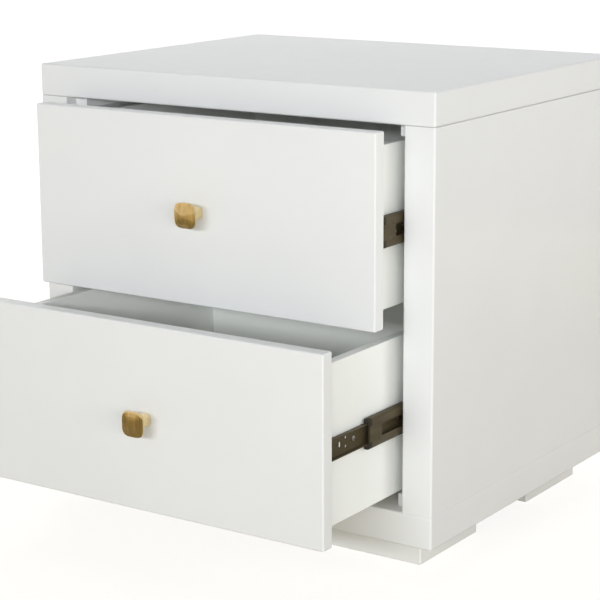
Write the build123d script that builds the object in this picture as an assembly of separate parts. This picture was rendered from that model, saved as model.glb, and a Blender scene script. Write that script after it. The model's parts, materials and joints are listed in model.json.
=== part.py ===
from build123d import *
import os

# Case, in millimetres. X runs to the right, Y to the back and Z up, from the floor under the case's middle.
case_width = 560.0
case_depth = 462.0
board = 39.0
opening_height = 443.0
board_round = 2.5

# Feet
foot_size = 134.0
foot_height = 35.0
foot_inset = 32.0
foot_round = 2.0
glide_radius = 20.0
glide_thickness = 4.0
glide_stand = 1.5
glide_stem_radius = 4.0
glide_stem_length = 14.0

# Back panel, held in grooves
back_thickness = 6.0
back_inset = 8.0
back_groove = 7.0
groove_end_gap = 0.5
groove_slack = 0.2

# Cleats in the corners between the sides and the top and base
cleat_width = 16.0
cleat_height = 15.0
cleat_setback = 20.0
cleat_rear_gap = 10.0
cleat_round = 1.0
cleat_screw_count = 3

# Drawer fronts
front_gap = 1.5
front_thickness = 18.0
front_round = 2.0

# Drawer boxes
box_wall = 12.0
box_below_front_top = 18.0
box_above_front_bottom = 18.0
box_rear_gap = 16.0
box_round = 1.0
bottom_thickness = 5.0
bottom_height = 10.0
bottom_groove = 6.0

# Slides: outer rail on the case, middle rail, inner rail on the drawer
rail_space = 12.7
rail_sheet = 1.2
rail_front_gap = 2.0
rail_rear_gap = 12.0
rail_rise = 107.0
outer_height = 45.6
outer_depth = 9.6
outer_lip = 1.3
middle_height = 35.0
middle_start = 2.9
middle_depth = 7.6
middle_window_height = 14.0
middle_window_margin = 25.0
inner_height = 24.0
inner_depth = 7.1
ball_gap = 0.1
cage_thickness = 1.4
cage_end_gap = 5.0
ball_count = 5
rail_screw_start = 55.0
rail_screw_spacing = 96.0
sight_slot_radius = 2.2
sight_slot_height = 7.0
sight_slot_start = 28.0
sight_hole_radius = 1.9
sight_hole_start = 40.0
sight_hole_spread = 10.0

# How far the slides stand out, as in the photograph
upper_middle_out = 56.0
upper_drawer_out = 0.0
lower_middle_out = 83.0
lower_drawer_out = 76.0

# Knobs
knob_size = 30.4
knob_corner = 9.5
knob_reach = 28.0
knob_rim = 5.0
knob_crown = 3.0
knob_foot_radius = 7.2
knob_neck_radius = 8.5
knob_edge_round = 1.0
knob_thread_depth = 12.0

# Fixings
fit = 0.1
dowel_radius = 4.0
dowel_depth = 16.0
dowel_inset = 60.0
cam_bolt_inset = 110.0
case_cam_radius = 7.5
case_cam_depth = 25.0
case_cam_reach = 34.0
drawer_cam_radius = 6.0
drawer_cam_depth = 9.5
drawer_cam_reach = 24.0
drawer_cam_inset = 40.0
bolt_radius = 3.0
bolt_head_radius = 3.5
bolt_head_length = 3.0
bolt_thread_radius = 4.0
bolt_thread_depth = 11.0
cam_slot_gap = 0.3
screw_radius = 2.0
screw_head_radius = 4.0
screw_head_height = 2.4
screw_bite = 14.0
rail_screw_head_radius = 3.2
rail_screw_head_height = 1.2
rail_screw_bite = 9.0
back_screw_inset = 35.0
foot_screw_inset = 30.0
foot_screw_recess = 12.0

# Places worked out from the sizes above
half_width = case_width / 2
half_depth = case_depth / 2
inside_x = half_width - board
base_top = foot_height + board
top_bottom = base_top + opening_height
case_height = top_bottom + board
back_front_face = half_depth - back_inset - back_thickness

front_half_width = inside_x - front_gap
front_height = (opening_height - 3 * front_gap) / 2
lower_front_bottom = base_top + front_gap
upper_front_bottom = lower_front_bottom + front_height + front_gap

closed_box_front = front_thickness - half_depth
box_length = back_front_face - box_rear_gap - closed_box_front
box_half_width = inside_x - rail_space
box_inside_x = box_half_width - box_wall
box_height = front_height - box_below_front_top - box_above_front_bottom

rail_length = box_length - rail_front_gap - rail_rear_gap
rail_front = closed_box_front + rail_front_gap
stage_travel = rail_length / 2

outer_race = outer_height / 2 - rail_sheet
middle_race = middle_height / 2 - rail_sheet
outer_ball_radius = (outer_race - middle_height / 2) / 2 - ball_gap
inner_ball_radius = (middle_race - inner_height / 2) / 2 - ball_gap
inner_start = rail_space - inner_depth
middle_end = middle_start + middle_depth
outer_ball_x = (middle_start + outer_depth - rail_sheet) / 2
inner_ball_x = (inner_start + middle_end) / 2

SIDES = {"left": -1, "right": 1}


def block(x0, x1, y0, y1, z0, z1):
    """A box between two corners."""
    centre = ((x0 + x1) / 2, (y0 + y1) / 2, (z0 + z1) / 2)
    return Pos(*centre) * Box(abs(x1 - x0), abs(y1 - y0), abs(z1 - z0))


def rod(start, direction, radius, length):
    """A round bar from a start point along a direction."""
    base = Plane(origin=start, z_dir=direction)
    return base * Cylinder(radius, length, align=(Align.CENTER, Align.CENTER, Align.MIN))


def cone(start, direction, radius, end_radius, length):
    """A tapered round bar from a start point along a direction."""
    base = Plane(origin=start, z_dir=direction)
    return base * Cone(radius, end_radius, length, align=(Align.CENTER, Align.CENTER, Align.MIN))


def prism(outline, y0, y1):
    """A bar along Y whose section is a closed outline of (x, z) points."""
    section = Plane(origin=(0, y0, 0), x_dir=(1, 0, 0), z_dir=(0, -1, 0))
    face = make_face(section * Polyline(*outline, close=True))
    return extrude(face, amount=y1 - y0, dir=(0, 1, 0))


def step(start, direction, distance):
    """The point at a distance from a start along a unit direction."""
    return tuple(s + d * distance for s, d in zip(start, direction))


def softened(solid, radius):
    """The solid with all of its edges rounded."""
    return fillet(solid.edges(), radius)


def save(name, shapes):
    """Writes one node, as one or several separate solids."""
    solids = [solid for shape in shapes for solid in shape.solids()]
    node = solids[0] if len(solids) == 1 else Compound(solids)
    export_step(node, f"parts/{name}.step")


def spread(low, high, count):
    """Evenly spaced places from low to high."""
    pitch = (high - low) / (count - 1)
    return [low + pitch * index for index in range(count)]


class Screw:
    """A pan-head screw with its head's seat at a point, going in along a direction."""

    def __init__(self, seat, direction, through, bite, head_radius, head_height):
        back = tuple(-d for d in direction)
        shank = rod(seat, direction, screw_radius, through + bite)
        self.solid = shank + rod(seat, back, head_radius, head_height)
        self.passage = rod(seat, direction, screw_radius + fit, through)
        self.pilot = rod(step(seat, direction, through), direction, screw_radius + fit, bite)


class CamFitting:
    """A bolt into one board's face and a cam lock in the end of the board that stands on it.

    The joint point lies where the boards meet. The bolt points into the drilled board, and the cam opens
    along a second direction, towards the face of the other board."""

    def __init__(self, joint, into, opens, cover, radius, depth, reach):
        away = tuple(-d for d in into)
        centre = step(joint, away, reach)
        mouth = step(centre, opens, cover)
        inwards = tuple(-d for d in opens)
        head = step(centre, away, bolt_head_length / 2)
        thread = rod(joint, into, bolt_thread_radius, bolt_thread_depth)
        shank = rod(head, into, bolt_radius, reach + bolt_head_length / 2)
        self.bolt = thread + shank + rod(head, into, bolt_head_radius, bolt_head_length)
        slot_start = step(head, away, cam_slot_gap)
        slot = rod(slot_start, into, bolt_head_radius + cam_slot_gap, reach)
        self.lock = rod(mouth, inwards, radius, depth) - slot
        self.lock_bore = rod(mouth, inwards, radius + fit, depth)
        self.bolt_bore = rod(joint, away, bolt_radius + fit, reach)
        self.thread_bore = rod(joint, into, bolt_thread_radius + fit, bolt_thread_depth)


def back_groove_cut():
    """The groove for the back panel, all round the inside of the case."""
    reach = back_groove
    return block(
        -inside_x - reach, inside_x + reach,
        back_front_face, back_front_face + back_thickness + groove_slack,
        base_top - reach, top_bottom + reach,
    )


def make_case_fittings():
    """The dowels and cam fittings at the four corners of the case."""
    dowels = []
    cams = []
    mid_board = inside_x + board / 2
    for sign in SIDES.values():
        opens = (-sign, 0, 0)
        for joint_z, up in ((top_bottom, 1), (base_top, -1)):
            into = (0, 0, up)
            for end in (-1, 1):
                dowel_y = end * (half_depth - dowel_inset)
                start = (sign * mid_board, dowel_y, joint_z - up * dowel_depth)
                dowels.append(rod(start, into, dowel_radius, 2 * dowel_depth))
                joint = (sign * mid_board, end * (half_depth - cam_bolt_inset), joint_z)
                cams.append(CamFitting(
                    joint, into, opens, board / 2, case_cam_radius, case_cam_depth, case_cam_reach,
                ))
    return dowels, cams


def make_dowel_bores(dowels):
    """The dowels' holes, a little wider than the dowels."""
    bores = []
    for dowel in dowels:
        box = dowel.bounding_box()
        start = (box.center().X, box.center().Y, box.min.Z)
        bores.append(rod(start, (0, 0, 1), dowel_radius + fit, 2 * dowel_depth))
    return bores


def make_cleats():
    """The corner cleats by name, with the screws into the sides and the holes that they need."""
    y0 = cleat_setback - half_depth
    y1 = back_front_face - cleat_rear_gap
    cleats = {}
    screws = []
    for level, joint_z, inward in (("upper", top_bottom, -1), ("lower", base_top, 1)):
        for side, sign in SIDES.items():
            x0 = sign * inside_x
            x1 = sign * (inside_x - cleat_width)
            cleat = block(x0, x1, y0, y1, joint_z, joint_z + inward * cleat_height)
            face_edges = cleat.edges().filter_by(Axis.Y).group_by(Axis.X)[0 if sign > 0 else -1]
            cleat = fillet(face_edges, cleat_round)
            margin = (y1 - y0) / (2 * cleat_screw_count)
            for y in spread(y0 + margin, y1 - margin, cleat_screw_count):
                seat = (x1, y, joint_z + inward * cleat_height / 2)
                screw = Screw(
                    seat, (sign, 0, 0), cleat_width, screw_bite, screw_head_radius, screw_head_height,
                )
                cleat -= screw.passage
                screws.append(screw)
            cleats[f"{level}_{side}_cleat"] = cleat
    return cleats, screws


def make_feet():
    """The foot blocks by name, their glides, and the screws up into the base."""
    feet = {}
    glides = []
    screws = []
    z0 = glide_stand
    for end, end_sign in (("front", -1), ("rear", 1)):
        for side, sign in SIDES.items():
            outer_x = sign * (half_width - foot_inset)
            outer_y = end_sign * (half_depth - foot_inset)
            inner_x = outer_x - sign * foot_size
            inner_y = outer_y - end_sign * foot_size
            foot = block(outer_x, inner_x, outer_y, inner_y, z0, foot_height)
            foot = fillet(foot.edges().filter_by(Axis.Z) + foot.edges().group_by(Axis.Z)[0], foot_round)
            x = (outer_x + inner_x) / 2
            y = (outer_y + inner_y) / 2
            disc = rod((x, y, 0), (0, 0, 1), glide_radius, glide_thickness)
            stem_start = (x, y, glide_thickness)
            glides.append(disc + rod(stem_start, (0, 0, 1), glide_stem_radius, glide_stem_length))
            foot -= rod((x, y, 0), (0, 0, 1), glide_radius + fit, glide_thickness)
            foot -= rod(stem_start, (0, 0, 1), glide_stem_radius + fit, glide_stem_length)
            reach = foot_size / 2 - foot_screw_inset
            for dx, dy in ((-reach, -reach), (reach, reach)):
                seat = (x + dx, y + dy, foot_screw_recess)
                screw = Screw(
                    seat, (0, 0, 1), foot_height - foot_screw_recess, screw_bite,
                    screw_head_radius, screw_head_height,
                )
                foot -= screw.passage
                foot -= rod((x + dx, y + dy, 0), (0, 0, 1), screw_head_radius + 2 * fit, foot_screw_recess)
                screws.append(screw)
            feet[f"{end}_{side}_foot"] = foot
    return feet, glides, screws


def rail_screw_places(front):
    """The places along a rail, from its front end, that take a screw."""
    count = int((rail_length - rail_screw_start) // rail_screw_spacing) + 1
    return [front + rail_screw_start + rail_screw_spacing * index for index in range(count)]


def rail_screw_holes(sign, height, front, x):
    """The round holes through a rail's web at the places of its screws."""
    start = x - sign * rail_space
    return [
        rod((start, y, height), (sign, 0, 0), screw_radius + fit, 2 * rail_space)
        for y in rail_screw_places(front)
    ]


def sight_holes(sign, height, front, x):
    """The spare holes at the front of an inner rail: an upright oval, then a pair of round holes."""
    start = x - sign * rail_space
    along = (sign, 0, 0)
    half = sight_slot_height / 2 - sight_slot_radius
    y = front + sight_slot_start
    slot = block(
        start, x + sign * rail_space, y - sight_slot_radius, y + sight_slot_radius,
        height - half, height + half,
    )
    for end in (-half, half):
        slot += rod((start, y, height + end), along, sight_slot_radius, 2 * rail_space)
    holes = [slot]
    for end in (-1, 1):
        place = (start, front + sight_hole_start, height + end * sight_hole_spread / 2)
        holes.append(rod(place, along, sight_hole_radius, 2 * rail_space))
    return holes


def channel(sign, web, tips, half_height, lip):
    """A channel's outline: its web lies at one depth from the case side, and its flanges end at another."""
    inward = 1 if tips > web else -1
    inside = web + inward * rail_sheet
    lip_start = tips - inward * rail_sheet
    race = half_height - rail_sheet
    upper = [
        (web, half_height), (tips, half_height), (tips, race - lip),
        (lip_start, race - lip), (lip_start, race), (inside, race),
    ]
    if not lip:
        upper = [(web, half_height), (tips, half_height), (tips, race), (inside, race)]
    lower = [(depth, -z) for depth, z in reversed(upper)]
    return [(sign * (inside_x - depth), z) for depth, z in upper + lower]


def make_outer_rail(sign, height, front):
    """The rail on the case side: a channel with small lips that keep the balls in."""
    outline = channel(sign, 0, outer_depth, outer_height / 2, outer_lip)
    rail = prism([(x, z + height) for x, z in outline], front, front + rail_length)
    for hole in rail_screw_holes(sign, height, front, sign * inside_x):
        rail -= hole
    return rail


def make_middle_rail(sign, height, front):
    """The rail between the two others: a channel with a long window in its web."""
    outline = channel(sign, middle_start, middle_end, middle_height / 2, 0)
    rail = prism([(x, z + height) for x, z in outline], front, front + rail_length)
    x = sign * (inside_x - middle_start)
    half = middle_window_height / 2
    window = block(
        x - 2 * rail_sheet, x + 2 * rail_sheet,
        front + middle_window_margin, front + rail_length - middle_window_margin,
        height - half, height + half,
    )
    return rail - fillet(window.edges().filter_by(Axis.X), 2 * rail_sheet)


def make_inner_rail(sign, height, front):
    """The rail on the drawer: a channel that faces the case."""
    outline = channel(sign, rail_space, inner_start, inner_height / 2, 0)
    rail = prism([(x, z + height) for x, z in outline], front, front + rail_length)
    x = sign * box_half_width
    for hole in rail_screw_holes(sign, height, front, x) + sight_holes(sign, height, front, x):
        rail -= hole
    return rail


def make_cages(height, front, depth, ball_height, ball_radius):
    """The ball cages of one stage on both sides, with their balls in the holes."""
    solids = []
    length = rail_length - stage_travel - 2 * cage_end_gap
    half_width_of_strip = ball_radius + cage_thickness / 2
    for sign in SIDES.values():
        x = sign * (inside_x - depth)
        for end in (-1, 1):
            z = height + end * ball_height
            strip = block(
                x - half_width_of_strip, x + half_width_of_strip, front, front + length,
                z - cage_thickness / 2, z + cage_thickness / 2,
            )
            margin = length / (2 * ball_count)
            for y in spread(front + margin, front + length - margin, ball_count):
                strip -= rod((x, y, z - ball_radius), (0, 0, 1), ball_radius + ball_gap, 2 * ball_radius)
                solids.append(Pos(x, y, z) * Sphere(ball_radius))
            solids.append(strip)
    return solids


def rail_screws(height, front, x, direction):
    """The flat-headed screws through a rail's web."""
    return [
        Screw(
            (x, y, height), (direction, 0, 0), rail_sheet, rail_screw_bite,
            rail_screw_head_radius, rail_screw_head_height,
        )
        for y in rail_screw_places(front)
    ]


def make_knob(front_face, height):
    """A cushion-shaped knob on a tapered neck, and its hole for the screw."""
    outwards = (0, -1, 0)
    head_back = knob_reach - knob_rim - knob_crown
    plane = Plane(origin=(0, front_face - head_back, height), x_dir=(1, 0, 0), z_dir=outwards)
    outline = RectangleRounded(knob_size, knob_size, knob_corner)
    head = extrude(plane * outline, amount=knob_rim + 2 * knob_crown)
    half = knob_size / 2
    dome_radius = (half ** 2 + knob_crown ** 2) / (2 * knob_crown)
    dome = Pos(0, front_face - knob_reach + dome_radius, height) * Sphere(dome_radius)
    head = head & dome
    head = fillet(head.edges().group_by(Axis.Y)[-1], knob_edge_round)
    neck = cone((0, front_face, height), outwards, knob_foot_radius, knob_neck_radius, head_back)
    knob = head + neck
    return knob - rod((0, front_face, height), outwards, screw_radius + fit, knob_thread_depth)


def make_drawer(level, front_bottom, out, rail_height):
    """All the pieces of one drawer, by name. It stands out from its closed place by a distance."""
    back_face = closed_box_front - out
    front_face = back_face - front_thickness
    box_bottom = front_bottom + box_above_front_bottom
    box_top = box_bottom + box_height
    box_rear = back_face + box_length
    middle_height_of_front = front_bottom + front_height / 2
    floor_z = box_bottom + bottom_height
    floor_x = box_inside_x + bottom_groove
    floor_front = back_face - bottom_groove
    floor_rear = box_rear - box_wall + bottom_groove
    gap = groove_end_gap
    bottom = block(
        -floor_x + gap, floor_x - gap, floor_front + gap, floor_rear - gap,
        floor_z, floor_z + bottom_thickness,
    )
    groove = block(
        -floor_x, floor_x, floor_front, floor_rear, floor_z, floor_z + bottom_thickness + groove_slack,
    )

    front = softened(block(
        -front_half_width, front_half_width, front_face, back_face,
        front_bottom, front_bottom + front_height,
    ), front_round)
    knob_screw = Screw(
        (0, back_face, middle_height_of_front), (0, -1, 0), front_thickness, knob_thread_depth,
        screw_head_radius, screw_head_height,
    )
    front = front - groove - knob_screw.passage
    back = block(-box_inside_x, box_inside_x, box_rear - box_wall, box_rear, box_bottom, box_top) - groove

    pieces = {}
    bolts = []
    locks = []
    back_screws = []
    inner_screws = []
    rail_start = back_face + rail_front_gap
    for side, sign in SIDES.items():
        wall = block(
            sign * box_half_width, sign * box_inside_x, back_face, box_rear, box_bottom, box_top,
        )
        wall = fillet(wall.edges().filter_by(Axis.Y).group_by(Axis.Z)[-1], box_round) - groove
        mid_wall = sign * (box_inside_x + box_wall / 2)
        for z in (box_bottom + drawer_cam_inset, box_top - drawer_cam_inset):
            cam = CamFitting(
                (mid_wall, back_face, z), (0, -1, 0), (-sign, 0, 0), box_wall / 2,
                drawer_cam_radius, drawer_cam_depth, drawer_cam_reach,
            )
            wall = wall - cam.lock_bore - cam.bolt_bore
            front -= cam.thread_bore
            bolts.append(cam.bolt)
            locks.append(cam.lock)
        for z in (box_bottom + back_screw_inset, box_top - back_screw_inset):
            seat = (sign * box_half_width, box_rear - box_wall / 2, z)
            screw = Screw(
                seat, (-sign, 0, 0), box_wall, 2 * screw_bite, screw_head_radius, screw_head_height,
            )
            wall -= screw.passage
            back -= screw.pilot
            back_screws.append(screw.solid)
        seat_x = sign * (box_half_width + rail_sheet)
        for screw in rail_screws(rail_height, rail_start, seat_x, -sign):
            wall -= screw.pilot
            inner_screws.append(screw.solid)
        pieces[f"{level}_drawer_{side}_side"] = [wall]
        pieces[f"{level}_{side}_inner_rail"] = [make_inner_rail(sign, rail_height, rail_start)]
    pieces[f"{level}_drawer_front"] = [front]
    pieces[f"{level}_drawer_back"] = [back]
    pieces[f"{level}_drawer_bottom"] = [bottom]
    pieces[f"{level}_knob"] = [make_knob(front_face, middle_height_of_front)]
    pieces[f"{level}_knob_screw"] = [knob_screw.solid]
    pieces[f"{level}_inner_rail_screws"] = inner_screws
    pieces[f"{level}_front_cam_bolts"] = bolts
    pieces[f"{level}_front_cam_locks"] = locks
    pieces[f"{level}_drawer_back_screws"] = back_screws
    return pieces


def make_slides(level, rail_height, middle_out, drawer_out):
    """The outer and middle rails and the ball cages of one drawer, by name."""
    pieces = {}
    middle_front = rail_front - middle_out
    for side, sign in SIDES.items():
        pieces[f"{level}_{side}_outer_rail"] = [make_outer_rail(sign, rail_height, rail_front)]
        pieces[f"{level}_{side}_middle_rail"] = [make_middle_rail(sign, rail_height, middle_front)]
    cage_front = rail_front + stage_travel / 2 + cage_end_gap
    pieces[f"{level}_outer_ball_cages"] = make_cages(
        rail_height, cage_front - middle_out / 2, outer_ball_x,
        middle_height / 2 + outer_ball_radius + ball_gap, outer_ball_radius,
    )
    pieces[f"{level}_inner_ball_cages"] = make_cages(
        rail_height, cage_front - middle_out - drawer_out / 2, inner_ball_x,
        inner_height / 2 + inner_ball_radius + ball_gap, inner_ball_radius,
    )
    return pieces


def make_case():
    """All the fixed pieces of the case but the rails, by name."""
    groove = back_groove_cut()
    dowels, cams = make_case_fittings()
    dowel_bores = make_dowel_bores(dowels)
    cleats, cleat_screws = make_cleats()
    feet, glides, foot_screws = make_feet()

    top = softened(
        block(-half_width, half_width, -half_depth, half_depth, top_bottom, case_height), board_round,
    )
    base = softened(
        block(-half_width, half_width, -half_depth, half_depth, foot_height, base_top), board_round,
    )
    sides = {}
    for side, sign in SIDES.items():
        panel = block(
            sign * inside_x, sign * half_width, -half_depth, half_depth, base_top, top_bottom,
        )
        panel = fillet(panel.edges().filter_by(Axis.Z), board_round)
        sides[side] = panel - groove
    top -= groove
    base -= groove
    for bore in dowel_bores:
        top -= bore
        base -= bore
        sides = {side: panel - bore for side, panel in sides.items()}
    for cam in cams:
        top -= cam.thread_bore
        base -= cam.thread_bore
        sides = {side: panel - cam.lock_bore - cam.bolt_bore for side, panel in sides.items()}
    for screw in cleat_screws:
        sides = {side: panel - screw.pilot for side, panel in sides.items()}
    for screw in foot_screws:
        base -= screw.pilot

    rail_fixings = []
    for rail_height in (lower_front_bottom + rail_rise, upper_front_bottom + rail_rise):
        for side, sign in SIDES.items():
            seat_x = sign * (inside_x - rail_sheet)
            for screw in rail_screws(rail_height, rail_front, seat_x, sign):
                sides[side] -= screw.pilot
                rail_fixings.append(screw.solid)

    back = block(
        -inside_x - back_groove + groove_end_gap, inside_x + back_groove - groove_end_gap,
        back_front_face, back_front_face + back_thickness,
        base_top - back_groove + groove_end_gap, top_bottom + back_groove - groove_end_gap,
    )
    pieces = {
        "top_panel": [top],
        "base_panel": [base],
        "left_side_panel": [sides["left"]],
        "right_side_panel": [sides["right"]],
        "back_panel": [back],
        "cleat_screws": [screw.solid for screw in cleat_screws],
        "foot_glides": glides,
        "foot_screws": [screw.solid for screw in foot_screws],
        "case_dowels": dowels,
        "case_cam_bolts": [cam.bolt for cam in cams],
        "case_cam_locks": [cam.lock for cam in cams],
        "outer_rail_screws": rail_fixings,
    }
    pieces.update({name: [cleat] for name, cleat in cleats.items()})
    pieces.update({name: [foot] for name, foot in feet.items()})
    return pieces


def main():
    os.makedirs("parts", exist_ok=True)
    nodes = make_case()
    drawers = (
        ("upper", upper_front_bottom, upper_middle_out, upper_drawer_out),
        ("lower", lower_front_bottom, lower_middle_out, lower_drawer_out),
    )
    for level, front_bottom, middle_out, drawer_out in drawers:
        rail_height = front_bottom + rail_rise
        nodes.update(make_slides(level, rail_height, middle_out, drawer_out))
        nodes.update(make_drawer(level, front_bottom, middle_out + drawer_out, rail_height))
    for name, shapes in nodes.items():
        save(name, shapes)


main()
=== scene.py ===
import json
import math

import bmesh
import bpy
from mathutils import Matrix, Vector

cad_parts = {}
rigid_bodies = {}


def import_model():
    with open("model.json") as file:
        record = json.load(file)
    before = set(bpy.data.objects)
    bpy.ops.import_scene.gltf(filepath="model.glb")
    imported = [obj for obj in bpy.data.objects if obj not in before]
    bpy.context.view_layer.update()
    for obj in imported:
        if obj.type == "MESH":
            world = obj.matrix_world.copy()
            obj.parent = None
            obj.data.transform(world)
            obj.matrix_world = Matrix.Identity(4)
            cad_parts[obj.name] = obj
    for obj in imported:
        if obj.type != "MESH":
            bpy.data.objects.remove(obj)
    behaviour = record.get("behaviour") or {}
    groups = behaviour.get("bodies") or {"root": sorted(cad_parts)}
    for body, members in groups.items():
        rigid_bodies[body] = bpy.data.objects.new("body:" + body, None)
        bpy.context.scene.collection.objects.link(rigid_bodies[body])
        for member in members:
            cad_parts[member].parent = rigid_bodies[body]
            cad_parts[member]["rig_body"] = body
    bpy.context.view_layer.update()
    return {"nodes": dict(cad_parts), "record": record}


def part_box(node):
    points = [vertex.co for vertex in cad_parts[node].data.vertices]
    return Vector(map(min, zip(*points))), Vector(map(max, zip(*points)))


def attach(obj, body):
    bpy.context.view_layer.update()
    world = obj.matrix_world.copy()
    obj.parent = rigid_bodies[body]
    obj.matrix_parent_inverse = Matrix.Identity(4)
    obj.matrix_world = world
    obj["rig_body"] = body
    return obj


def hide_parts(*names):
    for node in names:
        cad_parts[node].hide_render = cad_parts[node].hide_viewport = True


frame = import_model()

MM = 0.001
LEVELS = ("upper", "lower")
SIDES = {"left": -1, "right": 1}

# Camera: its place in metres, its turns in degrees, and its focal length in pixels of the square picture
PICTURE_SIZE = 600
CAMERA_PLACE = Vector((1.3020, -2.0010, 0.8026))
CAMERA_YAW = 34.108
CAMERA_PITCH = 13.095
CAMERA_ROLL = -0.304
FOCAL_PIXELS = 1908.8
SENSOR_WIDTH = 36.0

# Floor: sizes in metres, and its glow as pairs of a distance from the middle and a strength
FLOOR_HALF = 9.0
FLOOR_DROP = 0.2 * MM
FLOOR_TINT = (0.74, 0.685, 0.555)
FLOOR_GLOW_SHARE = 0.70
FLOOR_GLOW_NEAR = (0.7, 1.23)
FLOOR_GLOW_FAR = (2.8, 1.46)
CONTACT_REACH = 2.4 * MM
CONTACT_GLOW = 0.9

# Room: the strength of its light on the object, and how many bounces of light are followed
AMBIENT = 0.24
DIFFUSE_BOUNCES = 12

# Flag: sizes in metres, and its disc's tint as pairs of a distance from the middle and a colour
FLAG_CENTRE = (0.0, -0.3)
FLAG_RADIUS = 2.5
FLAG_NEAR = (0.8, (0.44, 0.40, 0.31))
FLAG_FAR = (1.3, (0.17, 0.15, 0.115))
FLAG_WALL_RADIUS = 0.62
FLAG_WALL_HEIGHT = 0.32
FLAG_WALL_FADE = 0.17
FLAG_WALL_TOP = (0.85, 0.78, 0.61)
FLAG_POINTS = 96

# Slides: bent sheet, the holes in it, and its dimples with their rings at turns in degrees
SHEET = 1.2 * MM
RAIL_BENDS = {"outer": 1.9 * MM, "middle": 2.3 * MM, "inner": 2.0 * MM}
OUTER_LIP = 1.3 * MM
BEND_STEPS = 6
SCREW_HOLE = 2.1 * MM
SCREW_HOLE_START = 55 * MM
SCREW_HOLE_SPACING = 96 * MM
SLOT_RADIUS = 2.2 * MM
SLOT_HALF_HEIGHT = 3.5 * MM
SLOT_START = 28 * MM
PAIR_RADIUS = 1.9 * MM
PAIR_START = 40 * MM
PAIR_OFFSETS = (-5 * MM, 5 * MM)
WINDOW_HALF_HEIGHT = 7 * MM
WINDOW_MARGIN = 25 * MM
WINDOW_CORNER = 2.4 * MM
DIMPLE_RADIUS = 1.7 * MM
DIMPLE_HEIGHT = 0.7 * MM
DIMPLE_TURNS = (0, 20, 40, 60, 75)
DIMPLE_BEFORE_WINDOW = 5 * MM
DIMPLE_OFFSET = 9 * MM

# Stops in the cut corners of the middle rails' front ends
NOTCH_LENGTH = 4.7 * MM
TONGUE_HALF_HEIGHT = 9 * MM
STOP_NOSE = 1.4 * MM
STOP_CLEARANCE = 0.15 * MM
STOP_BRIDGE = 0.8 * MM
STOP_ROUND = 1.0 * MM
STOP_BEVEL = 0.3 * MM
STOP_BEVEL_STEPS = 3
ROUND_PROFILE = 0.5

# Knobs: half-widths, lengths from the drawer front on, and how square the outline is
STEM_HALF = 7.8 * MM
STEM_LENGTH = 12.4 * MM
FLARE_HALF = 13.0 * MM
FLARE_LENGTH = 7.3 * MM
RIM_HALF = 15.1 * MM
RIM_LENGTH = 5.4 * MM
KNOB_SQUARENESS = {"stem": 3.0, "rim": 3.6, "tip": 2.3}
KNOB_STEPS = 8
KNOB_POINTS = 72
KNOB_REACH = 28.0 * MM

# Screws and cams: shares of a head's radius, then of its height, and a screw tip's length in shank radii
TURNED_POINTS = 28
HEAD_RINGS = (0.35, 0.6, 0.78, 0.9, 0.97, 1.0)
HEAD_RIM = 0.9
CROSS_REACH = 0.62
CROSS_WIDTH = 0.2
HEAD_DOME = 0.62
HEAD_CROSS_DEPTH = 0.8
SCREW_TIP = 2
CAM_CROSS_DEPTH = 2.2 * MM

# Glides
GLIDE_EDGE = 1.2 * MM
GLIDE_THICKNESS = 4 * MM
GLIDE_STEM = 4 * MM

# Softboxes: the middle line's ends, the point faced and the width across in metres, and the power in watts
WHITE = (1.0, 1.0, 1.0)
COOL_WHITE = (0.985, 0.995, 1.0)
BLUE_WHITE = (0.95, 0.975, 1.0)
LAMPS = {
    "front": {
        "ends": ((-0.7, -4.2, 1.41), (3.9, -4.2, 1.41)),
        "target": (0.3, -0.3, 0.3),
        "width": 0.36,
        "power": 125,
        "colour": BLUE_WHITE,
    },
    "side": {
        "ends": ((2.41, -3.04, 1.075), (3.59, -0.96, 0.48)),
        "target": (0, -0.3, 0.3),
        "width": 0.2,
        "power": 30,
        "colour": COOL_WHITE,
    },
    "right": {
        "ends": ((3.1, 0.15, 1.2), (2.9, 1.05, 1.2)),
        "target": (0.28, 0, 0.2),
        "width": 0.9,
        "power": 18.5,
        "colour": COOL_WHITE,
    },
    "overhead": {
        "ends": ((-2.3, 1.3, 3.0), (-0.7, 2.5, 3.0)),
        "target": (0, 0, 0.4),
        "width": 2.0,
        "power": 41,
        "colour": WHITE,
    },
    "back": {
        "ends": ((-3.2, 1.6, 1.2), (-0.9, 3.4, 1.2)),
        "target": (0, 0, 0.3),
        "width": 1.2,
        "power": 43,
        "colour": WHITE,
    },
}

# Finishes: the stretch of a noise's values that a pattern uses
PATTERN_LOW = 0.3
PATTERN_HIGH = 0.7

# Meshes: the angle from which an edge is shaded sharp, and the distance within which points are one
SHARP_ANGLE = math.radians(32)
MERGE_DISTANCE = 1e-6


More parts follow.
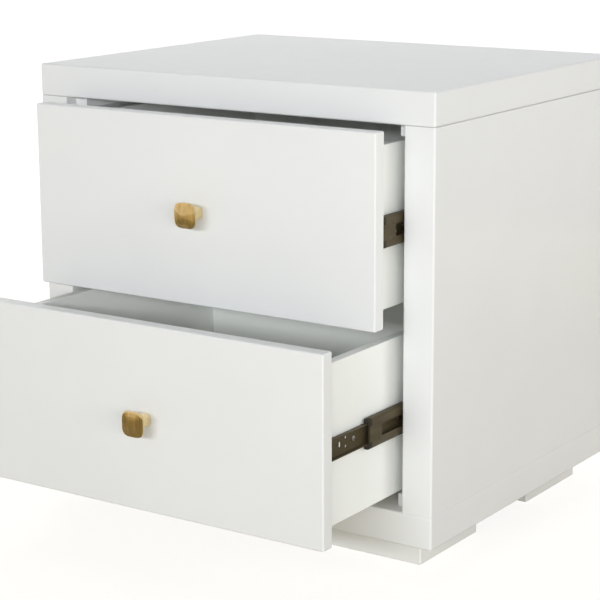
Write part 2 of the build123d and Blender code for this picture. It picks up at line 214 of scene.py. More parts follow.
class Graph:
    """A tree of shader nodes, with the steps that the finishes and the studio share."""

    def __init__(self, tree):
        self.nodes = tree.nodes
        self.links = tree.links

    def add(self, kind):
        """Adds a node of a kind."""
        return self.nodes.new(f"ShaderNode{kind}")

    def give(self, socket, value):
        """Gives an input its value: a number, a colour or another node's output."""
        if isinstance(value, bpy.types.NodeSocket):
            self.links.new(value, socket)
        else:
            socket.default_value = value

    def combine(self, operation, first, second):
        """The outcome of a math node on two values."""
        node = self.add("Math")
        node.operation = operation
        self.give(node.inputs[0], first)
        self.give(node.inputs[1], second)
        return node.outputs["Value"]

    def spread(self, value, start, end):
        """Maps a value between two pairs, each of a value and its outcome, and holds it beyond them."""
        node = self.add("MapRange")
        self.give(node.inputs["Value"], value)
        for name, (given, outcome) in (("Min", start), ("Max", end)):
            self.give(node.inputs[f"From {name}"], given)
            self.give(node.inputs[f"To {name}"], outcome)
        return node.outputs["Result"]

    def ramp(self, value, start, end):
        """A colour that follows a value between two pairs, each of a value and its colour."""
        node = self.add("ValToRGB")
        self.give(node.inputs["Fac"], value)
        for element, (given, colour) in zip(node.color_ramp.elements, (start, end)):
            element.position = given
            element.color = (*colour, 1)
        return node.outputs["Color"]

    def tint_over(self, colour, tint, share):
        """A colour that passes over to a tint as a share rises."""
        node = self.add("MixRGB")
        self.give(node.inputs["Fac"], share)
        self.give(node.inputs["Color1"], colour)
        self.give(node.inputs["Color2"], (*tint, 1))
        return node.outputs["Color"]

    def mix_shaders(self, first, second, share):
        """A shader that passes over to a second one as a share rises."""
        node = self.add("MixShader")
        for socket, value in zip(node.inputs, (share, first, second)):
            self.give(socket, value)
        return node.outputs["Shader"]

    def coordinate(self, place, axis):
        """One of a place's three coordinates."""
        node = self.add("SeparateXYZ")
        self.give(node.inputs["Vector"], place)
        return node.outputs[axis]

    def distance(self, place):
        """A place's distance from the origin of its coordinates."""
        node = self.add("VectorMath")
        node.operation = "LENGTH"
        self.give(node.inputs[0], place)
        return node.outputs["Value"]

    def seen_directly(self):
        """One for rays from the camera, from mirrors and through glass, and zero for light on the object."""
        path = self.add("LightPath").outputs
        value = path["Is Camera Ray"]
        for name in ("Is Glossy Ray", "Is Transmission Ray"):
            value = self.combine("MAXIMUM", value, path[name])
        return value


class Finish(Graph):
    """A material whose colour, roughness and relief come from nodes in the piece's own coordinates."""

    def __init__(self, name, metallic=0.0, specular=0.5):
        self.material = bpy.data.materials.new(name)
        self.material.use_nodes = True
        super().__init__(self.material.node_tree)
        self.shader = self.nodes["Principled BSDF"]
        self.shader.inputs["Metallic"].default_value = metallic
        self.shader.inputs["Specular IOR Level"].default_value = specular
        self.places = self.add("TexCoord").outputs
        self.normal = None

    def noise(self, scale, detail=3.0, stretch=(1, 1, 1), distortion=0.0):
        """A cloudy pattern with a number of blobs to the metre, drawn out along the axes."""
        mapping = self.add("Mapping")
        self.give(mapping.inputs["Vector"], self.places["Object"])
        self.give(mapping.inputs["Scale"], stretch)
        texture = self.add("TexNoise")
        self.give(texture.inputs["Vector"], mapping.outputs["Vector"])
        self.give(texture.inputs["Scale"], scale)
        self.give(texture.inputs["Detail"], detail)
        self.give(texture.inputs["Distortion"], distortion)
        return texture.outputs["Fac"]

    def share_along(self, axis, start, end):
        """Rises from zero to one between two shares of the piece's box along an axis."""
        share = self.coordinate(self.places["Generated"], axis)
        return self.spread(share, (start, 0.0), (end, 1.0))

    def colour(self, pattern, dark, light):
        """Lets the base colour run between two colours with a pattern."""
        colour = self.ramp(pattern, (PATTERN_LOW, dark), (PATTERN_HIGH, light))
        self.give(self.shader.inputs["Base Color"], colour)

    def overlay(self, pattern, tint):
        """Lets the base colour pass over to another colour with a pattern."""
        socket = self.shader.inputs["Base Color"]
        colour = socket.links[0].from_socket
        self.give(socket, self.tint_over(colour, tint, pattern))

    def roughness(self, pattern, smooth, rough):
        """Lets the roughness run between two values with a pattern."""
        roughness = self.spread(pattern, (PATTERN_LOW, smooth), (PATTERN_HIGH, rough))
        self.give(self.shader.inputs["Roughness"], roughness)

    def relief(self, pattern, depth):
        """Adds a relief of a depth in metres, on top of any relief that is there already."""
        bump = self.add("Bump")
        self.give(bump.inputs["Distance"], depth)
        self.give(bump.inputs["Height"], pattern)
        if self.normal:
            self.give(bump.inputs["Normal"], self.normal)
        self.normal = bump.outputs["Normal"]
        self.give(self.shader.inputs["Normal"], self.normal)

    def coat(self, roughness, ior):
        """Puts a clear lacquer over the whole finish."""
        self.shader.inputs["Coat Weight"].default_value = 1.0
        self.shader.inputs["Coat Roughness"].default_value = roughness
        self.shader.inputs["Coat IOR"].default_value = ior


def white_lacquer():
    """Sprayed satin lacquer: nearly even white, with a faint orange peel."""
    finish = Finish("white_lacquer_satin", specular=0.45)
    clouds = finish.noise(scale=9, detail=4)
    finish.colour(clouds, dark=(0.786, 0.792, 0.794), light=(0.804, 0.810, 0.812))
    finish.roughness(finish.noise(scale=70), smooth=0.33, rough=0.43)
    finish.relief(finish.noise(scale=420, detail=2), depth=0.010 * MM)
    finish.relief(finish.noise(scale=2600, detail=1), depth=0.002 * MM)
    return finish.material


def drawer_board():
    """Melamine-faced board: a fine pearl texture and a lighter white."""
    finish = Finish("drawer_board_melamine", specular=0.4)
    clouds = finish.noise(scale=14, detail=4)
    finish.colour(clouds, dark=(0.866, 0.882, 0.856), light=(0.888, 0.904, 0.878))
    finish.roughness(finish.noise(scale=120), smooth=0.42, rough=0.52)
    finish.relief(finish.noise(scale=1500, detail=2), depth=0.012 * MM)
    return finish.material


def white_hardboard():
    """White foil on hardboard, with the board's fibres showing through faintly."""
    finish = Finish("white_hardboard_foil", specular=0.35)
    clouds = finish.noise(scale=25, detail=5, stretch=(1, 1, 3))
    finish.colour(clouds, dark=(0.850, 0.850, 0.815), light=(0.880, 0.880, 0.845))
    finish.roughness(finish.noise(scale=200), smooth=0.48, rough=0.6)
    finish.relief(finish.noise(scale=500, detail=4, stretch=(1, 1, 0.35)), depth=0.02 * MM)
    return finish.material


def beech():
    """Bare beech: grain along Z with short dark flecks."""
    finish = Finish("beech_bare", specular=0.3)
    grain = finish.noise(scale=260, detail=5, stretch=(1, 1, 0.06), distortion=0.4)
    finish.colour(grain, dark=(0.42, 0.25, 0.12), light=(0.66, 0.46, 0.27))
    finish.roughness(finish.noise(scale=300), smooth=0.55, rough=0.7)
    finish.relief(finish.noise(scale=900, stretch=(1, 1, 0.08)), depth=0.03 * MM)
    return finish.material


def brass():
    """Brass under a clear lacquer: brushed up and down on the cap, with a painted highlight that makes it
    paler and brighter towards the drawer front.
    """
    finish = Finish("brass_satin", metallic=1.0)
    finish.coat(roughness=0.08, ior=1.75)
    streaks = finish.noise(scale=210, stretch=(1, 1, 0.10))
    finish.colour(streaks, dark=(0.47, 0.295, 0.070), light=(0.70, 0.465, 0.135))
    # Painted highlight: a paler brass over the stem and flare, fading out across the rim, towards the drawer
    # front.
    finish.overlay(finish.share_along("Y", start=0.10, end=0.30), tint=(0.86, 0.69, 0.35))
    finish.roughness(finish.noise(scale=900, stretch=(1, 1, 0.12)), smooth=0.20, rough=0.29)
    finish.relief(finish.noise(scale=2400, detail=2, stretch=(1, 1, 0.04)), depth=0.004 * MM)
    return finish.material


def black_steel():
    """Black electro-coated sheet steel with a warm cast and faint drawing lines along the rail."""
    finish = Finish("black_steel_coated", specular=0.22)
    streaks = finish.noise(scale=110, detail=4, stretch=(1, 0.15, 1))
    finish.colour(streaks, dark=(0.064, 0.049, 0.025), light=(0.088, 0.070, 0.040))
    finish.roughness(finish.noise(scale=420, stretch=(1, 0.1, 1)), smooth=0.42, rough=0.56)
    finish.relief(finish.noise(scale=1800, detail=2, stretch=(1, 0.06, 1)), depth=0.006 * MM)
    return finish.material


def ball_steel():
    """Bright steel with faint lapping marks."""
    finish = Finish("ball_steel_bright", metallic=1.0)
    finish.colour(finish.noise(scale=300), dark=(0.50, 0.50, 0.49), light=(0.60, 0.60, 0.60))
    finish.roughness(finish.noise(scale=1500, detail=2), smooth=0.14, rough=0.26)
    finish.relief(finish.noise(scale=3000, detail=1), depth=0.002 * MM)
    return finish.material


def zinc_steel():
    """Zinc plating: blue-grey with a faint yellow bloom."""
    finish = Finish("zinc_steel_plated", metallic=1.0)
    bloom = finish.noise(scale=420, detail=4)
    finish.colour(bloom, dark=(0.50, 0.50, 0.47), light=(0.64, 0.66, 0.68))
    finish.roughness(finish.noise(scale=1200), smooth=0.26, rough=0.42)
    finish.relief(finish.noise(scale=2500, detail=2), depth=0.004 * MM)
    return finish.material


def glide_plastic():
    """Matt moulded plastic, nearly black, with a fine spark-eroded texture."""
    finish = Finish("glide_plastic_matt", specular=0.25)
    finish.colour(finish.noise(scale=80), dark=(0.027, 0.024, 0.018), light=(0.038, 0.034, 0.026))
    finish.roughness(finish.noise(scale=500), smooth=0.5, rough=0.65)
    finish.relief(finish.noise(scale=3200, detail=2), depth=0.012 * MM)
    return finish.material


FINISHES = {
    "white_lacquer": white_lacquer(),
    "drawer_board": drawer_board(),
    "white_hardboard": white_hardboard(),
    "beech": beech(),
    "brass": brass(),
    "black_steel": black_steel(),
    "ball_steel": ball_steel(),
    "zinc_steel": zinc_steel(),
    "glide_plastic": glide_plastic(),
}


def shade(bm):
    """Smooth faces, with the edges of sharp corners kept sharp."""
    bm.normal_update()
    for face in bm.faces:
        face.smooth = True
    for edge in bm.edges:
        edge.smooth = edge.is_manifold and edge.calc_face_angle() < SHARP_ANGLE


def make_object(name, bm, material):
    """Turns a mesh into an object of one material."""
    mesh = bpy.data.meshes.new(name)
    bm.to_mesh(mesh)
    bm.free()
    mesh.materials.append(material)
    made = bpy.data.objects.new(name, mesh)
    bpy.context.scene.collection.objects.link(made)
    return made


def make_piece(name, bm, slot, body, node=None):
    """Turns a mesh into a piece that rides on a body, and lets it stand for a CAD node."""
    bmesh.ops.recalc_face_normals(bm, faces=bm.faces)
    shade(bm)
    piece = make_object(name, bm, FINISHES[slot])
    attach(piece, body)
    if node:
        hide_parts(node)


def body_of(node):
    """The body that a CAD node belongs to."""
    return frame["nodes"][node]["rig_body"]


def merged_copy(node):
    """A CAD node's mesh with the doubled points at its sharp edges joined."""
    bm = bmesh.new()
    bm.from_mesh(frame["nodes"][node].data)
    bmesh.ops.remove_doubles(bm, verts=bm.verts, dist=MERGE_DISTANCE)
    return bm


def solids_of(node):
    """The points of each separate solid of a CAD node."""
    bm = merged_copy(node)
    found = set()
    solids = []
    for start in bm.verts:
        if start in found:
            continue
        found.add(start)
        reached = [start]
        for vert in reached:
            for edge in vert.link_edges:
                other = edge.other_vert(vert)
                if other not in found:
                    found.add(other)
                    reached.append(other)
        solids.append([vert.co.copy() for vert in reached])
    bm.free()
    return solids


def corners(points):
    """The lowest and the highest corner of some points."""
    low = Vector([min(p[axis] for p in points) for axis in range(3)])
    high = Vector([max(p[axis] for p in points) for axis in range(3)])
    return low, high


def tube_between(bm, loops):
    """Joins rings of points, each as long as the last, with faces."""
    for first, second in zip(loops, loops[1:]):
        for index in range(len(first)):
            after = (index + 1) % len(first)
            bm.faces.new((first[index], first[after], second[after], second[index]))


def prism(outline, place, start, end):
    """A solid with a flat outline, drawn out between two values that a place function turns into points."""
    bm = bmesh.new()
    loops = [[bm.verts.new(place(a, b, depth)) for a, b in outline] for depth in (start, end)]
    tube_between(bm, loops)
    for loop in loops:
        bm.faces.new(loop)
    return bm


def along_y(a, b, depth):
    """A point of an outline in X and Z, at a depth along Y."""
    return Vector((a, depth, b))


def along_x(a, b, depth):
    """A point of an outline in Y and Z, at a depth along X."""
    return Vector((depth, a, b))


def along_z(a, b, depth):
    """A point of an outline in X and Y, at a depth along Z."""
    return Vector((a, b, depth))


def arc(centre, radius, start, end):
    """Points on an arc between two angles in radians."""
    turns = [start + (end - start) * i / BEND_STEPS for i in range(BEND_STEPS + 1)]
    return [(centre[0] + radius * math.cos(t), centre[1] + radius * math.sin(t)) for t in turns]


def rounded_outline(a, b, half_a, half_b, radius):
    """A rectangle about a centre with round corners, which is a circle or a slot where they meet."""
    points = []
    for quarter, (sign_a, sign_b) in enumerate(((1, 1), (-1, 1), (-1, -1), (1, -1))):
        centre = (a + sign_a * (half_a - radius), b + sign_b * (half_b - radius))
        for point in arc(centre, radius, quarter * math.pi / 2, (quarter + 1) * math.pi / 2):
            if not points or (Vector(point) - Vector(points[-1])).length > MERGE_DISTANCE:
                points.append(point)
    if (Vector(points[0]) - Vector(points[-1])).length < MERGE_DISTANCE:
        points.pop()
    return points


def bent_sheet(line, bend):
    """The outline of a bent sheet from the points of its middle line and the radius of its bends."""
    flanks = {1: [], -1: []}
    points = [Vector(p) for p in line]
    steps = [(b - a).normalized() for a, b in zip(points, points[1:])]
    lefts = [Vector((-s.y, s.x)) for s in steps]
    for side, flank in flanks.items():
        offset = side * SHEET / 2
        flank.append(points[0] + lefts[0] * offset)
        for index in range(1, len(points) - 1):
            turn = 1 if steps[index - 1].cross(steps[index]) > 0 else -1
            centre = points[index] - steps[index - 1] * bend + lefts[index - 1] * turn * bend
            radius = bend - turn * offset
            start = math.atan2(*reversed(-lefts[index - 1] * turn))
            end = start + turn * math.pi / 2
            flank.extend(Vector(p) for p in arc(centre, radius, start, end))
        flank.append(points[-1] + lefts[-1] * offset)
    return flanks[1] + flanks[-1][::-1]


def round_corners(outline, radii):
    """A closed outline of right angles with an arc at each corner whose radius isn't zero."""
    points = []
    for index, (corner, radius) in enumerate(zip(outline, radii)):
        corner = Vector(corner)
        back = (Vector(outline[index - 1]) - corner).normalized()
        ahead = (Vector(outline[(index + 1) % len(outline)]) - corner).normalized()
        if not radius:
            points.append(corner)
            continue
        centre = corner + (back + ahead) * radius
        start = math.atan2(-ahead.y, -ahead.x)
        turn = math.copysign(math.pi / 2, ahead.cross(back))
        points.extend(Vector(p) for p in arc(centre, radius, start, start + turn))
    return points


def add_mesh(bm, other, matrix=None):
    """Adds another mesh to a mesh, moved by a matrix."""
    if matrix is not None:
        other.transform(matrix)
    held = bpy.data.meshes.new("held")
    other.to_mesh(held)
    other.free()
    bm.from_mesh(held)
    bpy.data.meshes.remove(held)


def cut(bm, cutter):
    """The first mesh with the second one cut away."""
    held = []
    for shape in (bm, cutter):
        bmesh.ops.recalc_face_normals(shape, faces=shape.faces)
        mesh = bpy.data.meshes.new("held")
        shape.to_mesh(mesh)
        shape.free()
        held.append(bpy.data.objects.new("held", mesh))
        bpy.context.scene.collection.objects.link(held[-1])
    modifier = held[0].modifiers.new("cut", "BOOLEAN")
    modifier.object = held[1]
    modifier.operation = "DIFFERENCE"
    modifier.solver = "EXACT"
    bpy.context.view_layer.update()
    result = bmesh.new()
    result.from_object(held[0], bpy.context.evaluated_depsgraph_get())
    for item in held:
        mesh = item.data
        bpy.data.objects.remove(item)
        bpy.data.meshes.remove(mesh)
    return result


def lathe(profile, points=TURNED_POINTS):
    """A turned solid about Z. The profile of (radius, height) pairs starts and ends on the axis."""
    bm = bmesh.new()
    first = bm.verts.new((0, 0, profile[0][1]))
    last = bm.verts.new((0, 0, profile[-1][1]))
    turns = [2 * math.pi * i / points for i in range(points)]
    loops = []
    for radius, height in profile[1:-1]:
        loops.append([bm.verts.new((radius * math.cos(t), radius * math.sin(t), height)) for t in turns])
    tube_between(bm, loops)
    for index in range(points):
        after = (index + 1) % points
        bm.faces.new((first, loops[0][after], loops[0][index]))
        bm.faces.new((last, loops[-1][index], loops[-1][after]))
    return bm


def cross_outline(reach, half):
    """A plus sign with arms of a reach and a half-width."""
    return [
        (reach, -half), (reach, half), (half, half), (half, reach), (-half, reach), (-half, half),
        (-reach, half), (-reach, -half), (-half, -half), (-half, -reach), (half, -reach), (half, -half),
    ]


def facing(place, direction):
    """The matrix that stands a turned solid at a place with its Z axis along a direction."""
    turn = direction.to_track_quat("Z", "Y").to_matrix().to_4x4()
    return Matrix.Translation(place) @ turn


def screw_mesh(head_radius, head_height, shank_radius, length):
    """A pan-head screw with a cross recess. Its head's top is at the origin and it points along Z."""
    profile = [(0.0, 0.0)]
    for share in HEAD_RINGS:
        profile.append((head_radius * share, head_height * HEAD_DOME * (1 - math.sqrt(1 - share ** 2))))
    profile += [
        (head_radius, head_height),
        (shank_radius, head_height),
        (shank_radius, length - SCREW_TIP * shank_radius),
        (0.0, length),
    ]
    outline = cross_outline(head_radius * CROSS_REACH, head_radius * CROSS_WIDTH / 2)
    return cut(lathe(profile), prism(outline, along_z, -head_height, head_height * HEAD_CROSS_DEPTH))


def distance_from_axis(point, middle, axis):
    """How far a point lies from a line through a middle along X, Y or Z."""
    offset = point - middle
    offset[axis] = 0
    return offset.length


def make_screws(node):
    """Cross-head screws in place of a node's plain ones, each where its solid is."""
    bm = bmesh.new()
    for points in solids_of(node):
        low, high = corners(points)
        size = high - low
        axis = max(range(3), key=lambda i: size[i])
        middle = (low + high) / 2
        rings = [(distance_from_axis(p, middle, axis), p[axis]) for p in points]
        head_radius = max(radius for radius, height in rings)
        rim = HEAD_RIM * head_radius
        head = [height for radius, height in rings if radius > rim]
        shank = [radius for radius, height in rings if MERGE_DISTANCE < radius < rim]
        sign = 1 if sum(head) / len(head) < middle[axis] else -1
        top = middle.copy()
        top[axis] = low[axis] if sign > 0 else high[axis]
        direction = Vector([sign * (i == axis) for i in range(3)])
        screw = screw_mesh(head_radius, max(head) - min(head), max(shank), size[axis])
        add_mesh(bm, screw, facing(top, direction))
    make_piece(f"{node}_cross_head", bm, "zinc_steel", body_of(node), node)


def make_cams(node):
    """A node's cam locks with a cross recess in each mouth, the end nearest the middle of the case."""
    cutter = bmesh.new()
    for points in solids_of(node):
        low, high = corners(points)
        middle = (low + high) / 2
        radius = (high.z - low.z) / 2
        mouth = low.x if middle.x > 0 else high.x
        arms = cross_outline(radius * CROSS_REACH, radius * CROSS_WIDTH / 2)
        outline = [(middle.y + a, middle.z + b) for a, b in arms]
        add_mesh(cutter, prism(outline, along_x, mouth - CAM_CROSS_DEPTH, mouth + CAM_CROSS_DEPTH))
    bm = cut(merged_copy(node), cutter)
    make_piece(f"{node}_cross_mouth", bm, "zinc_steel", body_of(node), node)


def make_glides():
    """Foot glides with a rounded tread."""
    bm = bmesh.new()
    for points in solids_of("foot_glides"):
        low, high = corners(points)
        radius = (high.x - low.x) / 2
        tread = arc((radius - GLIDE_EDGE, GLIDE_EDGE), GLIDE_EDGE, -math.pi / 2, 0)
        profile = [
            (0, 0), *tread, (radius, GLIDE_THICKNESS), (GLIDE_STEM, GLIDE_THICKNESS), (GLIDE_STEM, high.z),
            (0, high.z),
        ]
        centre = (low + high) / 2
        add_mesh(bm, lathe(profile, 2 * TURNED_POINTS), Matrix.Translation((centre.x, centre.y, 0)))
    make_piece("foot_glides_rounded", bm, "glide_plastic", "case", "foot_glides")


def rail_line(low, high, opens, lip):
    """The middle line of a rail's sheet in X and Z, from one flange's tip round to the other's."""
    half = SHEET / 2
    web, tip = (low.x + half, high.x) if opens > 0 else (high.x - half, low.x)
    bottom, top = low.z + half, high.z - half
    if not lip:
        return [(tip, bottom), (web, bottom), (web, top), (tip, top)]
    edge = tip - opens * half
    return [
        (edge, bottom + half + lip), (edge, bottom), (web, bottom), (web, top), (edge, top),
        (edge, top - half - lip),
    ]


def rail_holes(stage, low, high):
    """The outlines, in Y and Z, of the holes in a rail's web."""
    middle = (low.z + high.z) / 2
    if stage == "middle":
        half = (high.y - low.y) / 2 - WINDOW_MARGIN
        return [rounded_outline((low.y + high.y) / 2, middle, half, WINDOW_HALF_HEIGHT, WINDOW_CORNER)]
    holes = []
    y = low.y + SCREW_HOLE_START
    while y < high.y:
        holes.append(rounded_outline(y, middle, SCREW_HOLE, SCREW_HOLE, SCREW_HOLE))
        y += SCREW_HOLE_SPACING
    if stage == "inner":
        holes.append(rounded_outline(low.y + SLOT_START, middle, SLOT_RADIUS, SLOT_HALF_HEIGHT, SLOT_RADIUS))
        for offset in PAIR_OFFSETS:
            place = (low.y + PAIR_START, middle + offset)
            holes.append(rounded_outline(*place, PAIR_RADIUS, PAIR_RADIUS, PAIR_RADIUS))
    return holes


def corner_notches(low, high):
    """The outlines, in Y and Z, of the two corners cut off a middle rail's front end."""
    middle = (low.z + high.z) / 2
    front, rear = low.y - SHEET, low.y + NOTCH_LENGTH
    edges = ((middle + TONGUE_HALF_HEIGHT, high.z + SHEET), (low.z - SHEET, middle - TONGUE_HALF_HEIGHT))
    return [[(front, bottom), (rear, bottom), (rear, top), (front, top)] for bottom, top in edges]


def dimple():
    """A small pressed bump, standing on Z."""
    rise = [
        (DIMPLE_RADIUS * math.cos(t), DIMPLE_HEIGHT * math.sin(t))
        for t in (math.radians(a) for a in DIMPLE_TURNS)
    ]
    return lathe([(0, -SHEET / 2), (DIMPLE_RADIUS, -SHEET / 2), *rise, (0, DIMPLE_HEIGHT)])


def make_rail(level, side, stage):
    """A rail bent from sheet, with round bends and its holes, where the plain rail is."""
    node = f"{level}_{side}_{stage}_rail"
    low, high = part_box(node)
    outwards = SIDES[side]
    opens = outwards if stage == "inner" else -outwards
    line = rail_line(low, high, opens, OUTER_LIP if stage == "outer" else 0)
    bm = prism(bent_sheet(line, RAIL_BENDS[stage]), along_y, low.y, high.y)
    cutter = bmesh.new()
    outlines = rail_holes(stage, low, high)
    if stage == "middle":
        outlines += corner_notches(low, high)
    for outline in outlines:
        add_mesh(cutter, prism(outline, along_x, low.x - SHEET, high.x + SHEET))
    bm = cut(bm, cutter)
    if stage == "middle":
        face = high.x if outwards > 0 else low.x
        y = low.y + WINDOW_MARGIN - DIMPLE_BEFORE_WINDOW
        for end in (-1, 1):
            place = Vector((face, y, (low.z + high.z) / 2 + end * DIMPLE_OFFSET))
            add_mesh(bm, dimple(), facing(place, Vector((outwards, 0, 0))))
    make_piece(f"{node}_formed", bm, "black_steel", body_of(node), node)


def make_stop(level, side):
    """The plastic stop in a middle rail's front end: a lobe in each cut corner, joined behind the web."""
    low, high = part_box(f"{level}_{side}_middle_rail")
    inner_low, inner_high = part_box(f"{level}_{side}_inner_rail")
    outwards = SIDES[side]
    middle = (low.z + high.z) / 2
    face = high.x if outwards > 0 else low.x
    web = face - outwards * (SHEET + STOP_CLEARANCE)
    tip = (low.x if outwards > 0 else high.x) + outwards * STOP_CLEARANCE
    bridge = web - outwards * STOP_BRIDGE
    race = (inner_high.z - inner_low.z) / 2 + STOP_CLEARANCE
    tongue = TONGUE_HALF_HEIGHT + STOP_CLEARANCE
    top = (high.z - low.z) / 2
    lobe = [(bridge, race), (tip, race), (tip, top), (face, top), (face, tongue), (web, tongue)]
    bend = RAIL_BENDS["middle"] + SHEET / 2
    radii = [0, STOP_ROUND, STOP_ROUND, bend, STOP_ROUND, 0]
    outline = [(x, middle + z) for x, z in lobe] + [(x, middle - z) for x, z in reversed(lobe)]
    outline = round_corners(outline, radii + radii[::-1])
    bm = prism(outline, along_y, low.y - STOP_NOSE, low.y + NOTCH_LENGTH - STOP_CLEARANCE)
    bmesh.ops.recalc_face_normals(bm, faces=bm.faces)
    front_edges = [e for e in bm.edges if all(v.co.y < low.y for v in e.verts)]
    bmesh.ops.bevel(
        bm, geom=front_edges, offset=STOP_BEVEL, segments=STOP_BEVEL_STEPS, profile=ROUND_PROFILE,
        affect="EDGES", clamp_overlap=True,
    )
    make_piece(f"{level}_{side}_rail_stop", bm, "glide_plastic", f"{level}_middle_rails")


def knob_rings():
    """The half-width, distance from the front and squareness of each ring of a knob."""
    stem, rim, tip = (KNOB_SQUARENESS[name] for name in ("stem", "rim", "tip"))
    shares = [step / KNOB_STEPS for step in range(KNOB_STEPS + 1)]
    flare_end = STEM_LENGTH + FLARE_LENGTH
    rim_end = flare_end + RIM_LENGTH
    rings = [(STEM_HALF, 0.0, stem)]
    for share in shares:
        turn = share * math.pi / 2
        half = STEM_HALF + (FLARE_HALF - STEM_HALF) * (1 - math.cos(turn))
        rings.append((half, STEM_LENGTH + FLARE_LENGTH * math.sin(turn), stem + (rim - stem) * share))
    for share in shares[1:]:
        turn = (share - 0.5) * math.pi
        half = FLARE_HALF + (RIM_HALF - FLARE_HALF) * math.cos(turn)
        rings.append((half, flare_end + RIM_LENGTH * (1 + math.sin(turn)) / 2, rim))
    for share in shares[1:-1]:
        reach = rim_end + (KNOB_REACH - rim_end) * (1 - (1 - share) ** 2)
        rings.append((FLARE_HALF * (1 - share), reach, rim + (tip - rim) * share))
    return rings


def make_knob(level):
    """A cushion-shaped knob on a square stem that flares into it."""
    node = f"{level}_knob"
    low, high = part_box(node)
    centre = (low + high) / 2
    bm = bmesh.new()
    loops = []
    for half, reach, squareness in knob_rings():
        loop = []
        for index in range(KNOB_POINTS):
            turn = 2 * math.pi * index / KNOB_POINTS
            shares = [math.copysign(abs(v) ** (2 / squareness), v) for v in (math.cos(turn), math.sin(turn))]
            x, z = (half * share for share in shares)
            loop.append(bm.verts.new((centre.x + x, high.y - reach, centre.z + z)))
        loops.append(loop)
    tube_between(bm, loops)
    bm.faces.new(loops[0])
    tip = bm.verts.new((centre.x, high.y - KNOB_REACH, centre.z))
    for index in range(KNOB_POINTS):
        bm.faces.new((tip, loops[-1][index], loops[-1][(index + 1) % KNOB_POINTS]))
    make_piece(f"{node}_cushion", bm, "brass", body_of(node), node)


def bare_material(name):
    """A material with nothing but its output, and the graph of its nodes."""
    material = bpy.data.materials.new(name)
    material.use_nodes = True
    graph = Graph(material.node_tree)
    graph.nodes.remove(graph.nodes["Principled BSDF"])
    return material, graph


def floor_material():
    """Pale and matt, but the camera and mirrors see it as white with the object's shadow on it.

    It is clear from below, and close to it the undersides of the feet get light from its glow.
    """
    material, graph = bare_material("floor_pale")
    matt = graph.add("BsdfDiffuse")
    graph.give(matt.inputs["Color"], (*FLOOR_TINT, 1))
    glow = graph.add("Emission")
    distance = graph.distance(graph.add("TexCoord").outputs["Object"])
    graph.give(glow.inputs["Strength"], graph.spread(distance, FLOOR_GLOW_NEAR, FLOOR_GLOW_FAR))
    path = graph.add("LightPath").outputs
    seen = graph.combine("MULTIPLY", graph.seen_directly(), FLOOR_GLOW_SHARE)
    close = graph.combine("LESS_THAN", path["Ray Length"], CONTACT_REACH)
    close = graph.combine("MULTIPLY", close, path["Is Diffuse Ray"])
    under = graph.combine("MULTIPLY", close, CONTACT_GLOW)
    share = graph.combine("MAXIMUM", seen, under)
    lit = graph.mix_shaders(matt.outputs["BSDF"], glow.outputs["Emission"], share)
    clear = graph.add("BsdfTransparent").outputs["BSDF"]
    below = graph.add("NewGeometry").outputs["Backfacing"]
    graph.give(graph.nodes["Material Output"].inputs["Surface"], graph.mix_shaders(lit, clear, below))
    return material


def make_floor():
    """A wide pale floor."""
    bm = bmesh.new()
    bmesh.ops.create_grid(bm, x_segments=1, y_segments=1, size=FLOOR_HALF)
    floor = make_object("floor", bm, floor_material())
    floor.location.z = -FLOOR_DROP


def flag_material():
    """Matt, darker away from the middle, and paler towards the top of the wall."""
    material, graph = bare_material("flag_dark")
    place = graph.add("TexCoord").outputs["Object"]
    share = graph.combine("DIVIDE", graph.distance(place), FLAG_RADIUS)
    ends = [(reach / FLAG_RADIUS, tint) for reach, tint in (FLAG_NEAR, FLAG_FAR)]
    rise = graph.spread(graph.coordinate(place, "Z"), (FLAG_WALL_FADE, 0.0), (FLAG_WALL_HEIGHT, 1.0))
    matt = graph.add("BsdfDiffuse")
    graph.give(matt.inputs["Color"], graph.tint_over(graph.ramp(share, *ends), FLAG_WALL_TOP, rise))
    graph.give(graph.nodes["Material Output"].inputs["Surface"], matt.outputs["BSDF"])
    return material


def make_flag():
    """A dark disc and a low wall, which only mirrors see, so that polished metal has something to show."""
    bm = bmesh.new()
    bmesh.ops.create_circle(bm, cap_ends=True, segments=FLAG_POINTS, radius=FLAG_RADIUS)
    bmesh.ops.create_cone(
        bm, cap_ends=False, segments=FLAG_POINTS, radius1=FLAG_WALL_RADIUS, radius2=FLAG_WALL_RADIUS,
        depth=FLAG_WALL_HEIGHT, matrix=Matrix.Translation((0, 0, FLAG_WALL_HEIGHT / 2)),
    )
    flag = make_object("flag", bm, flag_material())
    flag.location = (*FLAG_CENTRE, -FLOOR_DROP / 2)
    flag.visible_camera = False
    flag.visible_diffuse = False
    flag.visible_transmission = False
    flag.visible_shadow = False


def make_world():
    """White all round to the camera and mirrors, and a dimmer light on the object."""
    world = bpy.data.worlds.new("studio")
    bpy.context.scene.world = world
    world.use_nodes = True
    graph = Graph(world.node_tree)
    background = graph.nodes["Background"]
    graph.give(background.inputs["Color"], (*WHITE, 1))
    strength = graph.spread(graph.seen_directly(), (0.0, AMBIENT), (1.0, 1.0))
    graph.give(background.inputs["Strength"], strength)


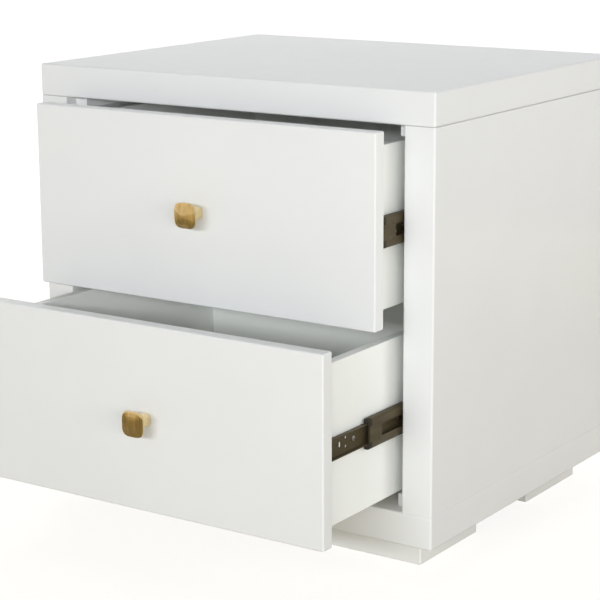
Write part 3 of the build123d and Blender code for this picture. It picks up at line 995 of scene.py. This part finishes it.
def make_lamp(name, ends, target, width, power, colour):
    """A softbox between two ends that faces a target. Mirrors show the white room instead of it."""
    start, end = (Vector(point) for point in ends)
    centre = (start + end) / 2
    along = (end - start).normalized()
    across = along.cross(Vector(target) - centre).normalized()
    light = bpy.data.lights.new(name, "AREA")
    light.shape = "RECTANGLE"
    light.size = (end - start).length
    light.size_y = width
    light.energy = power
    light.color = colour
    lamp = bpy.data.objects.new(name, light)
    turn = Matrix((along, across, along.cross(across))).transposed().to_4x4()
    lamp.matrix_world = Matrix.Translation(centre) @ turn
    lamp.visible_camera = False
    lamp.visible_glossy = False
    bpy.context.scene.collection.objects.link(lamp)


def make_camera():
    """The camera at the photograph's view."""
    yaw, pitch, roll = (math.radians(a) for a in (CAMERA_YAW, CAMERA_PITCH, CAMERA_ROLL))
    forward = Vector((-math.sin(yaw) * math.cos(pitch), math.cos(yaw) * math.cos(pitch), -math.sin(pitch)))
    right = Vector((math.cos(yaw), math.sin(yaw), 0))
    up = right.cross(forward)
    turned_right = right * math.cos(roll) + up * math.sin(roll)
    turned_up = up * math.cos(roll) - right * math.sin(roll)
    data = bpy.data.cameras.new("camera")
    data.sensor_width = SENSOR_WIDTH
    data.lens = FOCAL_PIXELS / PICTURE_SIZE * SENSOR_WIDTH
    camera = bpy.data.objects.new("camera", data)
    turn = Matrix((turned_right, turned_up, -forward)).transposed().to_4x4()
    camera.matrix_world = Matrix.Translation(CAMERA_PLACE) @ turn
    bpy.context.scene.collection.objects.link(camera)
    bpy.context.scene.camera = camera


for subpart in frame["record"]["subparts"]:
    for slot in frame["nodes"][subpart["node"]].material_slots:
        slot.material = FINISHES[subpart["material_slot"]]

for level in LEVELS:
    make_knob(level)
    for side in SIDES:
        for stage in RAIL_BENDS:
            make_rail(level, side, stage)
        make_stop(level, side)
    for kind in ("knob_screw", "inner_rail_screws", "drawer_back_screws"):
        make_screws(f"{level}_{kind}")
    make_cams(f"{level}_front_cam_locks")
for node in ("cleat_screws", "foot_screws", "outer_rail_screws"):
    make_screws(node)
make_cams("case_cam_locks")
make_glides()

make_floor()
make_world()
make_flag()
for name, lamp in LAMPS.items():
    make_lamp(name, **lamp)
bpy.context.scene.cycles.diffuse_bounces = DIFFUSE_BOUNCES
make_camera()
bpy.context.scene.view_settings.view_transform = "Standard"
